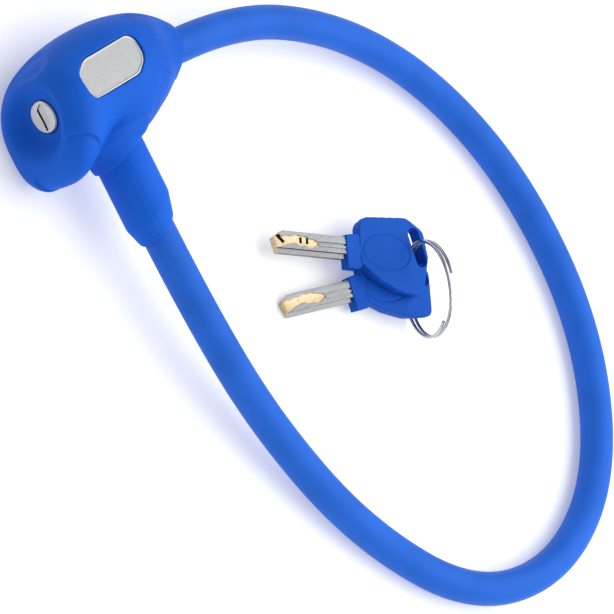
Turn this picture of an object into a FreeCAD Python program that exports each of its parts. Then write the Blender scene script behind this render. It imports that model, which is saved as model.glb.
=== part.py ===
import FreeCAD, Part
import math
import os
import re
import Sketcher
from FreeCAD import Placement, Rotation, Vector

# A cable lock: a T-shaped head in a soft jacket holds the key cylinder, a latch and one end of a
# steel cable. The other end of the cable carries a bolt that plugs into the side of the head.
# Two keys hang on a split ring beside it.
#
# Frame, in millimetres: X runs along the barrel from the keyhole to the cable, the bolt leaves
# the head towards -Y, Z is up. The lock lies on its flat underside at Z = 0, and the origin is
# below the crossing of the barrel's axis and the bolt's axis.

DIMENSIONS = {
    "axis_height": 17.0,
    # jacket of the head: six sections along X, each leaning back for each millimetre across
    "front_x": -26.2,
    "front_width": 18.5,
    "front_rise": 20.0,
    "front_fall": 21.9,
    "front_shift": -9.2,
    "front_lean": 0.0,
    "belly_x": -8.9,
    "belly_width": 15.9,
    "belly_rise": 16.0,
    "belly_fall": 18.6,
    "belly_shift": 0.1,
    "belly_lean": 0.0,
    "waist_x": 8.0,
    "waist_width": 17.8,
    "waist_rise": 15.7,
    "waist_fall": 17.0,
    "waist_shift": -0.6,
    "waist_lean": 0.0,
    "tail_x": 22.0,
    "tail_width": 15.5,
    "tail_rise": 13.3,
    "tail_fall": 14.4,
    "tail_shift": 2.2,
    "tail_lean": 0.1,
    "neck_x": 31.0,
    "neck_width": 11.8,
    "neck_rise": 8.8,
    "neck_fall": 11.0,
    "neck_shift": 0.4,
    "neck_lean": 0.25,
    "exit_x": 37.8,
    "exit_width": 7.0,
    "exit_rise": 7.2,
    "exit_fall": 7.2,
    "exit_shift": 0.2,
    "exit_lean": 0.35,
    "front_round": 11.9,
    "exit_round": 1.6,
    "roof_squareness": 2.0,
    "base_squareness": 2.7,
    "recess_depth": 0.6,
    # hood round the bolt
    "hood_end": 19.4,
    "hood_radius": 10.0,
    "hood_root_radius": 12.6,
    "hood_shoulder": 13.0,
    "hood_slant": 22.8,
    "hood_socket_end": 15.0,
    # dished keyhole
    "dish_radius": 11.8,
    "dish_centre": -29.85,
    "dish_floor": -19.6,
    # badge
    "badge_half_length": 10.0,
    "badge_half_width": 6.3,
    "badge_bow": 3.0,
    "badge_corner": 3.0,
    "badge_thick": 1.2,
    "badge_x": 0.1,
    "badge_y": 4.4,
    "badge_z": 31.15,
    "badge_heading": 8.3,
    "badge_tilt": 15.5,
    "badge_gap": 0.1,
    # zinc core
    "core_front": -17.0,
    "core_back": 11.0,
    "core_half_width": 10.2,
    "core_half_rise": 12.4,
    "core_round": 7.6,
    "core_tail_radius": 8.4,
    "core_tail_end": 25.0,
    "core_boss_radius": 7.6,
    "core_boss_end": 13.4,
    # key cylinder
    "plug_face": -20.4,
    "plug_head_radius": 5.0,
    "plug_head_bevel": 0.35,
    "plug_radius": 4.8,
    "plug_back": -7.2,
    "plug_fit": 0.05,
    "housing_radius": 6.5,
    "housing_front": -17.8,
    "housing_back": -8.6,
    "clip_radius": 5.6,
    "clip_thick": 0.6,
    "clip_seat_radius": 3.8,
    "clip_gap": 0.15,
    "keyway_half_length": 4.0,
    "keyway_high": 2.4,
    "keyway_low": 1.1,
    "keyway_depth": 11.5,
    "shutter_sink": 0.35,
    "shutter_thick": 0.4,
    "shutter_gap": 0.05,
    "shutter_slit": 0.5,
    "tumbler_count": 5,
    "tumbler_radius": 0.6,
    "tumbler_travel": 0.5,
    "tumbler_pitch": 1.5,
    "tumbler_first": -15.8,
    "drive_pin_radius": 1.1,
    "drive_pin_throw": 3.0,
    "drive_pin_end": -5.0,
    # latch
    "latch_y": 2.6,
    "latch_thick": 2.6,
    "latch_front": -6.9,
    "latch_back": 7.0,
    "latch_low": 8.2,
    "latch_high": 6.4,
    "latch_gap": 0.3,
    "notch_gap": 0.15,
    "notch_floor": -4.8,
    "pocket_low": 11.2,
    "pocket_high": 11.1,
    "spring_radius": 1.05,
    "spring_wire": 0.45,
    "spring_turns": 2.9,
    # bolt
    "bolt_radius": 4.0,
    "bolt_tip": 8.2,
    "bolt_tip_radius": 2.6,
    "bolt_cone": 2.4,
    "bolt_groove_radius": 2.5,
    "bolt_gap": 0.3,
    "bolt_bore_end": 8.9,
    "bolt_shank_radius": 3.2,
    "bolt_shoulder": 23.7,
    "bolt_shank_end": 30.0,
    "bush_radius": 6.4,
    "bush_inner_end": 9.0,
    "bush_flange_radius": 7.9,
    # sleeve on the bolt
    "sleeve_start": 15.3,
    "sleeve_radius": 8.2,
    "sleeve_bevel": 0.6,
    "sleeve_taper_start": 38.5,
    "sleeve_end": 45.0,
    "sleeve_end_radius": 6.5,
    "ferrule_radius": 6.3,
    "ferrule_end": 38.5,
    "ferrule_floor": 31.0,
    # cable
    "cable_radius": 5.5,
    "rope_radius": 3.5,
    "jacket_start": 33.0,
    "anchor_start": 12.0,
    "anchor_radius": 5.6,
    "anchor_floor": 17.6,
    "anchor_pin_x": 14.6,
    "anchor_pin_radius": 1.5,
    # keys
    "blade_length": 28.6,
    "blade_width": 7.0,
    "blade_thick": 3.0,
    "blade_tip": 2.4,
    "blade_root": 12.0,
    "blade_flange": 1.5,
    "blade_step": 1.2,
    "blade_groove_length": 11.0,
    "track_depth": 0.5,
    "groove_low": 0.5,
    "groove_width": 0.9,
    "bow_thick": 4.4,
    "bow_collar": 4.0,
    "bow_collar_width": 5.4,
    "bow_length": 33.0,
    "bow_half_width": 13.0,
    "bow_round_near": 7.2,
    "bow_round_side": 4.8,
    "bow_round_far": 4.0,
    "slot_inset": 4.7,
    "slot_across": 2.2,
    "slot_length": 12.6,
    "slot_width": 4.0,
    "slot_lean": 16.0,
    "key_gap": 0.3,
    # where the lower key lies, and how the upper one lies on it
    "key_x": 73.98,
    "key_y": -94.92,
    "key_z": 3.85,
    "key_heading": -14.5,
    "key_pitch": 4.4,
    "fan_along": -1.2,
    "fan_across": 13.15,
    "fan_angle": -14.5,
    # split ring
    "ring_radius": 15.32,
    "ring_wire": 1.1,
    "ring_pitch": 1.55,
    "ring_turns": 1.833,
    "ring_start": 144.0,
    "ring_lean": 71.25,
    "ring_heading": -22.3,
    "ring_x": 94.37,
    "ring_y": -106.17,
}

# The cable's route, from inside the head to inside the sleeve: X, Y and the height of its axis.
ROUTE = [
    (65.5, 0.0, 17.0),
    (113.5, -18.5, 10.5),
    (149.0, -50.5, 5.5),
    (166.5, -95.0, 5.5),
    (166.0, -149.0, 5.5),
    (141.5, -193.0, 5.5),
    (102.5, -210.0, 5.5),
    (61.0, -199.5, 5.5),
    (30.5, -161.0, 5.5),
    (11.5, -116.0, 9.5),
    (0.0, -71.0, 17.0),
]

# Finger recesses in the jacket: centre of the round end, the way it faces, the way it runs, radius.
RECESSES = [
    (Vector(-15.3, 13.6, 15.7), Vector(-0.47, 0.88, 0.0), Vector(0.0, 0.0, -1.0), 10.5),
    (Vector(-21.9, -13.0, 26.5), Vector(-0.57, -0.82, 0.0), Vector(0.19, -0.13, -0.97), 6.4),
    (Vector(15.7, -10.6, 24.5), Vector(0.56, -0.66, 0.50), Vector(0.58, -0.12, -0.81), 9.3),
    (Vector(20.5, 15.7, 23.3), Vector(0.29, 0.50, 0.82), Vector(0.95, -0.04, -0.31), 4.2),
]

doc = FreeCAD.newDocument("cable_lock")
sheet = doc.addObject("Spreadsheet::Sheet", "Dimensions")
for row, (alias, size) in enumerate(DIMENSIONS.items(), start=1):
    sheet.set("A%d" % row, alias)
    sheet.set("B%d" % row, str(size))
    sheet.setAlias("B%d" % row, alias)
measure = doc.addObject("App::VarSet", "Measure")
measure.addProperty("App::PropertyFloat", "Reading")
doc.recompute()


def tie(match):
    """An alias of the sheet, or any other word as it is."""
    word = match.group(0)
    return "Dimensions." + word if word in DIMENSIONS else word


def expression(text):
    """An expression written in aliases, with each one tied to the sheet."""
    return re.sub(r"[a-z][a-z_]+", tie, text)


def size(text):
    """The value that an expression has now."""
    measure.setExpression("Reading", expression(text))
    measure.recompute()
    return measure.Reading


def bind(feature, **sizes):
    """Ties properties of a feature to expressions."""
    for name, text in sizes.items():
        feature.setExpression(name, expression(text))


def put(feature, x="0", y="0", z="0"):
    """Ties a feature's place to expressions."""
    for letter, text in (("x", x), ("y", y), ("z", z)):
        feature.setExpression(".Placement.Base." + letter, expression(text))


def body_of(label):
    body = doc.addObject("PartDesign::Body", label)
    body.Label = label
    return body


def sketch_on(body, name, role, along="0", up="0"):
    """A sketch on one of the body's origin planes, moved along the plane's normal and up in it."""
    sketch = body.newObject("Sketcher::SketchObject", name)
    plane = [f for f in body.Origin.OriginFeatures if f.Role == role][0]
    sketch.AttachmentSupport = [(plane, "")]
    sketch.MapMode = "FlatFace"
    sketch.setExpression(".AttachmentOffset.Base.z", expression(along))
    sketch.setExpression(".AttachmentOffset.Base.y", expression(up))
    return sketch


def outline(sketch, points):
    """A closed outline of straight lines whose corners are tied to expressions."""
    places = [Vector(size(u), size(v), 0) for u, v in points]
    count = len(points)
    for k in range(count):
        sketch.addGeometry(Part.LineSegment(places[k], places[(k + 1) % count]), False)
    for k in range(count):
        sketch.addConstraint(Sketcher.Constraint("Coincident", k, 2, (k + 1) % count, 1))
    for k, (u, v) in enumerate(points):
        for kind, text in (("DistanceX", u), ("DistanceY", v)):
            number = sketch.addConstraint(Sketcher.Constraint(kind, -1, 1, k, 1, size(text)))
            sketch.setExpression("Constraints[%d]" % number, expression(text))


def rounded(sketch, left, right, low, high, corner):
    """A rectangle with rounded corners between four sides."""
    a, b, c, d, r = (size(t) for t in (left, right, low, high, corner))
    ends = [
        (a + r, c, b - r, c),
        (b, c + r, b, d - r),
        (b - r, d, a + r, d),
        (a, d - r, a, c + r),
    ]
    middles = [(b - r, c + r), (b - r, d - r), (a + r, d - r), (a + r, c + r)]
    for x1, y1, x2, y2 in ends:
        sketch.addGeometry(Part.LineSegment(Vector(x1, y1, 0), Vector(x2, y2, 0)), False)
    for k, (x, y) in enumerate(middles):
        circle = Part.Circle(Vector(x, y, 0), Vector(0, 0, 1), r)
        start = math.radians(90 * k - 90)
        sketch.addGeometry(Part.ArcOfCircle(circle, start, start + math.pi / 2), False)
    for k in range(4):
        arc = 4 + k
        sketch.addConstraint(Sketcher.Constraint("Tangent", k, 2, arc, 1))
        sketch.addConstraint(Sketcher.Constraint("Tangent", arc, 2, (k + 1) % 4, 1))
    for k in (0, 2):
        sketch.addConstraint(Sketcher.Constraint("Horizontal", k))
        sketch.addConstraint(Sketcher.Constraint("Vertical", k + 1))
    for k in range(1, 4):
        sketch.addConstraint(Sketcher.Constraint("Equal", 4, 4 + k))
    ties = [
        (Sketcher.Constraint("Radius", 4, r), corner),
        (Sketcher.Constraint("DistanceX", -1, 1, 3, 1, a), left),
        (Sketcher.Constraint("DistanceX", -1, 1, 1, 1, b), right),
        (Sketcher.Constraint("DistanceY", -1, 1, 0, 1, c), low),
        (Sketcher.Constraint("DistanceY", -1, 1, 2, 1, d), high),
    ]
    for constraint, text in ties:
        number = sketch.addConstraint(constraint)
        sketch.setExpression("Constraints[%d]" % number, expression(text))


def turned(label, axis, profile):
    """A piece turned about the barrel's axis (X) or the bolt's axis (Y): (place, radius) points."""
    body = body_of(label)
    if axis == "X":
        sketch = sketch_on(body, label + "_profile", "XZ_Plane", up="axis_height")
        outline(sketch, profile)
        line = "H_Axis"
    else:
        sketch = sketch_on(body, label + "_profile", "XY_Plane", along="axis_height")
        outline(sketch, [(radius, place) for place, radius in profile])
        line = "V_Axis"
    turn = body.newObject("PartDesign::Revolution", label + "_turn")
    turn.Profile = sketch
    turn.ReferenceAxis = (sketch, [line])
    turn.Angle = 360
    return body


def block(label, x, y, z, length, width, height):
    """A box with its lowest corner at x, y, z."""
    box = doc.addObject("Part::Box", label)
    bind(box, Length=length, Width=width, Height=height)
    put(box, x, y, z)
    return box


def rod(label, radius, length, x="0", y="0", z="0", direction=Vector(0, 0, 1)):
    """A cylinder from x, y, z along a direction."""
    cylinder = doc.addObject("Part::Cylinder", label)
    bind(cylinder, Radius=radius, Height=length)
    cylinder.Placement = Placement(Vector(), Rotation(Vector(0, 0, 1), direction))
    put(cylinder, x, y, z)
    return cylinder


def fuse(label, *pieces):
    joined = doc.addObject("Part::MultiFuse", label)
    joined.Label = label
    joined.Shapes = list(pieces)
    return joined


def cut(label, base, *tools):
    removed = doc.addObject("Part::Cut", label)
    removed.Label = label
    removed.Base = base
    removed.Tool = tools[0] if len(tools) == 1 else fuse(label + "_tools", *tools)
    return removed


def edges_where(shape, test):
    """Names of the edges whose ends and middle all pass a test."""
    found = []
    for number, edge in enumerate(shape.Edges, start=1):
        middle = edge.valueAt((edge.FirstParameter + edge.LastParameter) / 2)
        points = [v.Point for v in edge.Vertexes] + [middle]
        if all(test(p) for p in points):
            found.append("Edge%d" % number)
    return found


def upright_edges(shape):
    """Names of the straight edges that run along Z."""
    return ["Edge%d" % number for number, edge in enumerate(shape.Edges, start=1)
            if len(edge.Vertexes) == 2
            and (edge.Vertexes[0].Point - edge.Vertexes[1].Point).cross(Vector(0, 0, 1)).Length < 1e-6]


# Zinc core of the head

def core_form():
    """Outside of the casting: a rounded block, a round tail for the cable and a boss for the bolt."""
    body = body_of("core_block")
    sketch = sketch_on(body, "core_outline", "YZ_Plane", along="core_front", up="axis_height")
    rounded(sketch, "-core_half_width", "core_half_width", "-core_half_rise", "core_half_rise",
            "core_round")
    pad = body.newObject("PartDesign::Pad", "core_pad")
    pad.Profile = sketch
    bind(pad, Length="core_back - core_front")
    tail = turned("core_tail", "X", [
        ("0", "0"), ("0", "core_tail_radius"), ("core_tail_end", "core_tail_radius"),
        ("core_tail_end", "0")])
    boss = turned("core_boss", "Y", [
        ("0", "0"), ("0", "core_boss_radius"), ("-core_boss_end", "core_boss_radius"),
        ("-core_boss_end", "0")])
    return fuse("core_form", body, tail, boss)


def latch_pocket():
    """Room for the latch, open at the core's underside."""
    return block(
        "latch_pocket", "latch_front - latch_gap", "latch_y - latch_thick / 2 - latch_gap",
        "axis_height - core_half_rise", "latch_back - latch_front + 2 * latch_gap",
        "latch_thick + 2 * latch_gap", "core_half_rise + pocket_high")


core = core_form()
lock_core = cut(
    "lock_core", core,
    turned("housing_bore", "X", [
        ("core_front - 5", "0"), ("core_front - 5", "housing_radius"),
        ("latch_front - latch_gap", "housing_radius"),
        ("latch_front - latch_gap", "drive_pin_throw + drive_pin_radius + latch_gap"),
        ("drive_pin_end + latch_gap", "drive_pin_throw + drive_pin_radius + latch_gap"),
        ("drive_pin_end + latch_gap", "0")]),
    latch_pocket(),
    turned("bolt_bore", "Y", [
        ("bolt_bore_end", "0"), ("bolt_bore_end", "bolt_radius + bolt_gap"),
        ("-bush_inner_end", "bolt_radius + bolt_gap"), ("-bush_inner_end", "bush_radius"),
        ("-core_boss_end - 5", "bush_radius"), ("-core_boss_end - 5", "0")]),
    turned("anchor_bore", "X", [
        ("anchor_start", "0"), ("anchor_start", "anchor_radius"),
        ("core_tail_end + 5", "anchor_radius"), ("core_tail_end + 5", "0")]),
    rod("anchor_pin_hole", "anchor_pin_radius", "2 * core_tail_radius + 4", "anchor_pin_x", "0",
        "axis_height - core_tail_radius - 2"))


# Soft jacket of the head

def between(places, values, x):
    """A smooth curve through given places, at x."""
    k = max(i for i in range(len(places) - 1) if i == 0 or places[i] <= x)
    slopes = []
    for i in (k, k + 1):
        low = max(i - 1, 0)
        high = min(i + 1, len(places) - 1)
        slopes.append((values[high] - values[low]) / (places[high] - places[low]))
    span = places[k + 1] - places[k]
    t = (x - places[k]) / span
    return ((2 * t ** 3 - 3 * t ** 2 + 1) * values[k] + (t ** 3 - 2 * t ** 2 + t) * span * slopes[0]
            + (3 * t ** 2 - 2 * t ** 3) * values[k + 1] + (t ** 3 - t ** 2) * span * slopes[1])


def rounding(radius, depth):
    """How far a rounded end has drawn in at a depth below it."""
    rest = max(radius - depth, 0.0)
    return radius - math.sqrt(radius ** 2 - rest ** 2)


def jacket_loop(x, inset):
    """The closed outline of the jacket at x: an ellipse above the axis, squarer below it."""
    stations = ("front", "belly", "waist", "tail", "neck", "exit")
    places = [size(s + "_x") for s in stations]
    width, rise, fall, shift, lean = (
        between(places, [size(s + kind) for s in stations], x)
        for kind in ("_width", "_rise", "_fall", "_shift", "_lean"))
    drawn = (rounding(size("front_round"), x - places[0])
             + rounding(size("exit_round"), places[-1] - x)) + inset
    points = []
    for k in range(24):
        angle = math.radians(15 * k)
        u, v = math.cos(angle), math.sin(angle)
        height = (rise if v > 0 else fall) - drawn
        power = 2 / size("roof_squareness" if v > 0 else "base_squareness")
        y = shift + (width - drawn) * math.copysign(abs(u) ** power, u)
        z = size("axis_height") + height * math.copysign(abs(v) ** power, v)
        points.append(Vector(x + lean * y + inset, y, z))
    curve = Part.BSplineCurve()
    curve.interpolate(Points=points, PeriodicFlag=True)
    return Part.Wire(curve.toShape())


def jacket_form(label, inset):
    """The moulded outside, or a skin inside it, lofted through loops drawn in at both ends."""
    front, back = size("front_x"), size("exit_x")
    front_round, exit_round = size("front_round"), size("exit_round")
    front_part = [front + front_round * t for t in (0, 0.05, 0.2, 0.45, 0.8)]
    middle_part = [front + front_round + (back - exit_round - front - front_round) * t
                   for t in (0.1, 0.24, 0.38, 0.52, 0.66, 0.8, 0.92, 1.0)]
    back_part = [back - exit_round * t for t in (0.45, 0.1, 0)]
    form = doc.addObject("Part::Feature", label)
    places = front_part + middle_part + back_part
    form.Shape = Part.makeLoft([jacket_loop(x, inset) for x in places], True)
    return form


def finger_recess(number, centre, facing, run, radius):
    """What a finger recess takes away: a round-ended slab that faces out of the jacket."""
    across = run.cross(facing).normalize()
    place = Placement(centre, Rotation(across, facing.cross(across), facing, "ZXY"))
    reach = "3 * %s" % radius
    end = rod("recess_end_%d" % number, str(radius), reach)
    run_out = block("recess_run_%d" % number, "0", "0", "0", "2 * %s" % radius, reach, reach)
    for piece, corner in ((end, Vector()), (run_out, Vector(-radius, 0, 0))):
        for letter in "xyz":
            piece.setExpression(".Placement.Base." + letter, None)
        piece.Placement = place.multiply(Placement(corner, Rotation()))
    return fuse("recess_%d" % number, end, run_out)


def dish():
    """The bowl pressed round the keyhole, with a flat floor."""
    ball = doc.addObject("Part::Sphere", "dish_ball")
    bind(ball, Radius="dish_radius")
    put(ball, "dish_centre", "0", "axis_height")
    return cut("dish", ball, block(
        "behind_dish", "dish_floor", "-dish_radius", "0", "dish_radius", "2 * dish_radius",
        "axis_height + dish_radius"))


def hood_form():
    """The hood that flares round the bolt, with its mouth on a slant."""
    flare = turned("hood_flare", "Y", [
        ("0", "0"), ("0", "hood_root_radius"), ("-hood_shoulder", "hood_root_radius - 0.4"),
        ("-hood_end + 2", "hood_radius + 0.7"), ("-hood_end", "hood_radius"),
        ("-hood_end - 8", "hood_radius"), ("-hood_end - 8", "0")])
    beyond = block("beyond_hood", "0", "0", "0", "60", "20", "60")
    for letter in "xyz":
        beyond.setExpression(".Placement.Base." + letter, None)
    slant = Rotation(Vector(0, 0, 1), size("hood_slant"))
    beyond.Placement = Placement(Vector(0, size("-hood_end"), 0), slant).multiply(
        Placement(Vector(-30, -20, -10), Rotation()))
    return cut("hood_form", flare, beyond)


jacket_body = cut("jacket_body", jacket_form("jacket_form", 0.0), cut(
    "recesses", fuse("recess_slabs", *[finger_recess(number, *recess) for number, recess
                                       in enumerate(RECESSES, start=1)]),
    jacket_form("recess_floor", size("recess_depth"))))
jacket_outside = fuse("jacket_outside", jacket_body, hood_form())
under_floor = block("under_floor", "front_x - 5", "-60", "-20", "80", "120", "20")
keyhole = turned("keyhole", "X", [
    ("front_x", "0"), ("front_x", "plug_head_radius + bolt_gap"),
    ("housing_front", "plug_head_radius + bolt_gap"), ("housing_front", "housing_radius"),
    ("core_front", "housing_radius"), ("core_front", "0")])
bolt_mouth = turned("bolt_mouth", "Y", [
    ("-core_boss_end", "0"), ("-core_boss_end", "bush_flange_radius"),
    ("-hood_socket_end", "bush_flange_radius"), ("-hood_socket_end", "sleeve_radius + 0.4"),
    ("-hood_end - 9", "sleeve_radius + 0.4"), ("-hood_end - 9", "0")])
cable_mouth = turned("cable_mouth", "X", [
    ("core_tail_end", "0"), ("core_tail_end", "rope_radius"), ("jacket_start", "rope_radius"),
    ("jacket_start", "cable_radius"), ("exit_x + 10", "cable_radius"), ("exit_x + 10", "0")])


def badge_solid(label, grow, high):
    """The badge's plate with bowed ends, grown by a gap, laid on the roof's slope."""
    body = body_of(label)
    sketch = sketch_on(body, label + "_outline", "XY_Plane", along="-badge_thick")
    half_length = "badge_half_length + " + grow
    half_width = "badge_half_width + " + grow
    middle = "badge_half_length + badge_bow + " + grow
    outline(sketch, [
        ("-(%s)" % half_length, "-(%s)" % half_width), (half_length, "-(%s)" % half_width),
        (middle, "-badge_corner"), (middle, "badge_corner"), (half_length, half_width),
        ("-(%s)" % half_length, half_width), ("-(%s)" % middle, "badge_corner"),
        ("-(%s)" % middle, "-badge_corner")])
    pad = body.newObject("PartDesign::Pad", label + "_pad")
    pad.Profile = sketch
    bind(pad, Length="badge_thick + " + high)
    doc.recompute()
    rim = body.newObject("PartDesign::Fillet", label + "_round")
    rim.Base = (pad, upright_edges(pad.Shape))
    bind(rim, Radius="badge_corner")
    slope = Rotation(Vector(1, 0, 0), -size("badge_tilt")).multiply(
        Rotation(Vector(0, 0, 1), size("badge_heading")))
    body.Placement = Placement(
        Vector(size("badge_x"), size("badge_y"), size("badge_z")), slope)
    return body


badge_seat = badge_solid("badge_seat", "badge_gap", "10")
badge_plate = badge_solid("badge_plate", "0", "0")

head_cover = cut("head_cover", jacket_outside, under_floor, dish(), keyhole, bolt_mouth, cable_mouth,
                 badge_seat, core)

# Key cylinder

cylinder_housing = turned("cylinder_housing", "X", [
    ("housing_front", "plug_radius + plug_fit"), ("housing_front", "housing_radius"),
    ("housing_back", "housing_radius"), ("housing_back", "plug_radius + plug_fit")])


def keyway_profile(label, x, length, gap, slit):
    """The keyway's wavy outline pushed along X, or a plate in it that leaves a slit on one side."""
    body = body_of(label)
    sketch = sketch_on(body, label + "_outline", "YZ_Plane", along=x, up="axis_height")
    half = "keyway_half_length"
    floor = "-keyway_low + " + slit
    outline(sketch, [
        (half + " - " + gap, "keyway_high * 0.42"), (half + " - " + gap, "keyway_high * 0.85"),
        (half + " * 0.62", "keyway_high - " + gap), (half + " * -0.12", "keyway_high - " + gap),
        (half + " * -0.52", "keyway_high * 0.78 - " + gap),
        (half + " * -0.84", "keyway_high * 0.26 - " + gap),
        ("-(%s) + %s + 0.7 * %s" % (half, gap, slit), "-keyway_low * 0.5 + " + slit),
        ("-(%s) + %s" % (half, gap), floor), (half + " * -0.36", floor + " + keyway_low * 0.16"),
        (half + " * 0.03", floor + " + keyway_low * 0.04"), (half + " * 0.66", floor)])
    pad = body.newObject("PartDesign::Pad", label + "_pad")
    pad.Profile = sketch
    bind(pad, Length=length)
    return body


plug_form = turned("plug_form", "X", [
    ("plug_face", "0"), ("plug_face", "plug_head_radius - plug_head_bevel"),
    ("plug_face + plug_head_bevel", "plug_head_radius"),
    ("housing_front - clip_gap", "plug_head_radius"), ("housing_front - clip_gap", "plug_radius"),
    ("housing_back + clip_gap", "plug_radius"), ("housing_back + clip_gap", "clip_seat_radius"),
    ("housing_back + clip_gap + clip_thick", "clip_seat_radius"),
    ("housing_back + clip_gap + clip_thick", "plug_radius"), ("plug_back", "plug_radius"),
    ("plug_back", "0")])
drive_pin = rod("drive_pin", "drive_pin_radius", "drive_pin_end - plug_back + 0.4", "plug_back - 0.4",
                "drive_pin_throw * sqrt(0.5)", "axis_height - drive_pin_throw * sqrt(0.5)",
                Vector(1, 0, 0))


def tumblers(label, radius, low, high):
    """A row of round pins below the keyway, between two heights under the barrel's axis."""
    pins = []
    for k in range(int(size("tumbler_count"))):
        pins.append(rod("%s_%d" % (label, k + 1), radius, "(%s) - (%s)" % (low, high),
                        "tumbler_first + %d * tumbler_pitch" % k, "0", "axis_height - (%s)" % low))
    return pins


tumbler_pins = doc.addObject("Part::Compound", "tumbler_pins")
tumbler_pins.Links = tumblers("tumbler", "tumbler_radius", "plug_radius - 0.7",
                              "keyway_low - tumbler_travel")
key_plug = cut(
    "key_plug", fuse("plug_with_pin", plug_form, drive_pin),
    keyway_profile("keyway", "plug_face - 1", "keyway_depth + 1", "0", "0"),
    *tumblers("tumbler_chamber", "tumbler_radius + plug_fit", "plug_radius + 1", "0"))
keyway_shutter = keyway_profile("keyway_shutter", "plug_face + shutter_sink", "shutter_thick",
                                "shutter_gap", "shutter_slit")
clip_ring = turned("clip_ring", "X", [
    ("housing_back + clip_gap", "clip_seat_radius"), ("housing_back + clip_gap", "clip_radius"),
    ("housing_back + clip_gap + clip_thick", "clip_radius"),
    ("housing_back + clip_gap + clip_thick", "clip_seat_radius")])
plug_clip = cut("plug_clip", clip_ring, block(
    "clip_mouth", "housing_back", "-2.6", "axis_height", "3", "5.2", "10"))

# Latch

latch_plate = block(
    "latch_plate", "latch_front", "latch_y - latch_thick / 2", "axis_height - latch_low",
    "latch_back - latch_front", "latch_thick", "latch_low + latch_high")
latch_travel = "2 * drive_pin_throw * sqrt(0.5)"
latch = cut(
    "latch", latch_plate,
    rod("latch_eye", "bolt_radius + bolt_gap + 0.05", "latch_thick + 4", "0", "latch_y - latch_thick",
        "axis_height", Vector(0, 1, 0)),
    rod("latch_throat", "bolt_groove_radius + notch_gap", "latch_thick + 4", "0",
        "latch_y - latch_thick", "axis_height - " + latch_travel, Vector(0, 1, 0)),
    block("latch_notch", "latch_front - 1", "latch_y - latch_thick",
          "axis_height - drive_pin_throw * sqrt(0.5) - drive_pin_radius - notch_gap",
          "notch_floor - latch_front + 1", "2 * latch_thick", "2 * drive_pin_radius + 2 * notch_gap"))
latch_cap = doc.addObject("Part::MultiCommon", "latch_cap")
latch_cap.Shapes = [core, block(
    "latch_cap_block", "latch_front - latch_gap", "latch_y - latch_thick / 2 - latch_gap",
    "axis_height - core_half_rise", "latch_back - latch_front + 2 * latch_gap",
    "latch_thick + 2 * latch_gap", "core_half_rise - pocket_low")]


def coil(radius, pitch, turns, wire):
    """A wound wire: arcs of half a turn, each in its own plane, that meet at the flanks."""
    arcs = []
    half_turns = 2 * turns
    for k in range(math.ceil(half_turns)):
        side = 1 if k % 2 == 0 else -1
        sweep = math.pi * min(half_turns - k, 1)
        places = [Vector(side * radius * math.cos(t), side * radius * math.sin(t),
                         pitch / 2 * k + pitch / 4 * (1 - math.cos(t)))
                  for t in (0, sweep / 2, sweep)]
        arcs.append(Part.Arc(*places).toShape())
    circle = Part.makeCircle(wire / 2, Vector(radius, 0, 0), Vector(0, 1, 0))
    return Part.Wire(arcs).makePipeShell([Part.Wire(circle)], True, False)


def make_latch_spring():
    """A small coil between the cap and the latch."""
    low = size("axis_height - pocket_low + spring_wire / 2")
    high = size("axis_height - latch_low - spring_wire / 2")
    pitch = (high - low) / size("spring_turns")
    print("latch spring: gap between turns %.2f mm" % (pitch - size("spring_wire")))
    spring = doc.addObject("Part::Feature", "latch_spring")
    spring.Shape = coil(size("spring_radius"), pitch, size("spring_turns"), size("spring_wire"))
    spring.Placement = Placement(Vector(0, size("latch_y"), low), Rotation())
    return spring


latch_spring = make_latch_spring()

# Bolt, its ferrule and its sleeve

lock_bolt = turned("lock_bolt", "Y", [
    ("bolt_tip", "0"), ("bolt_tip", "bolt_tip_radius"), ("bolt_tip - bolt_cone", "bolt_radius"),
    ("latch_y + latch_thick / 2 + latch_gap", "bolt_radius"),
    ("latch_y + latch_thick / 2 + latch_gap", "bolt_groove_radius"),
    ("latch_y - latch_thick / 2 - latch_gap", "bolt_groove_radius"),
    ("latch_y - latch_thick / 2 - latch_gap", "bolt_radius"), ("-bolt_shoulder", "bolt_radius"),
    ("-bolt_shoulder", "bolt_shank_radius"), ("-bolt_shank_end", "bolt_shank_radius"),
    ("-bolt_shank_end", "0")])
bolt_ferrule = turned("bolt_ferrule", "Y", [
    ("-bolt_shoulder", "bolt_shank_radius"), ("-bolt_shoulder", "ferrule_radius"),
    ("-ferrule_end", "ferrule_radius"), ("-ferrule_end", "rope_radius"),
    ("-ferrule_floor", "rope_radius"), ("-ferrule_floor", "0"), ("-bolt_shank_end", "0"),
    ("-bolt_shank_end", "bolt_shank_radius")])
bolt_sleeve = turned("bolt_sleeve", "Y", [
    ("-sleeve_start", "bolt_radius"), ("-sleeve_start", "sleeve_radius - sleeve_bevel"),
    ("-sleeve_start - sleeve_bevel", "sleeve_radius"), ("-sleeve_taper_start", "sleeve_radius"),
    ("-sleeve_end", "sleeve_end_radius"), ("-sleeve_end", "cable_radius"),
    ("-ferrule_end", "cable_radius"), ("-ferrule_end", "ferrule_radius"),
    ("-bolt_shoulder", "ferrule_radius"), ("-bolt_shoulder", "bolt_radius")])
socket_bush = turned("socket_bush", "Y", [
    ("-bush_inner_end", "bolt_radius + bolt_gap"), ("-bush_inner_end", "bush_radius"),
    ("-core_boss_end", "bush_radius"), ("-core_boss_end", "bush_flange_radius"),
    ("-hood_socket_end", "bush_flange_radius"), ("-hood_socket_end", "bolt_radius + bolt_gap")])

# Cable and its anchor in the head

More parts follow.
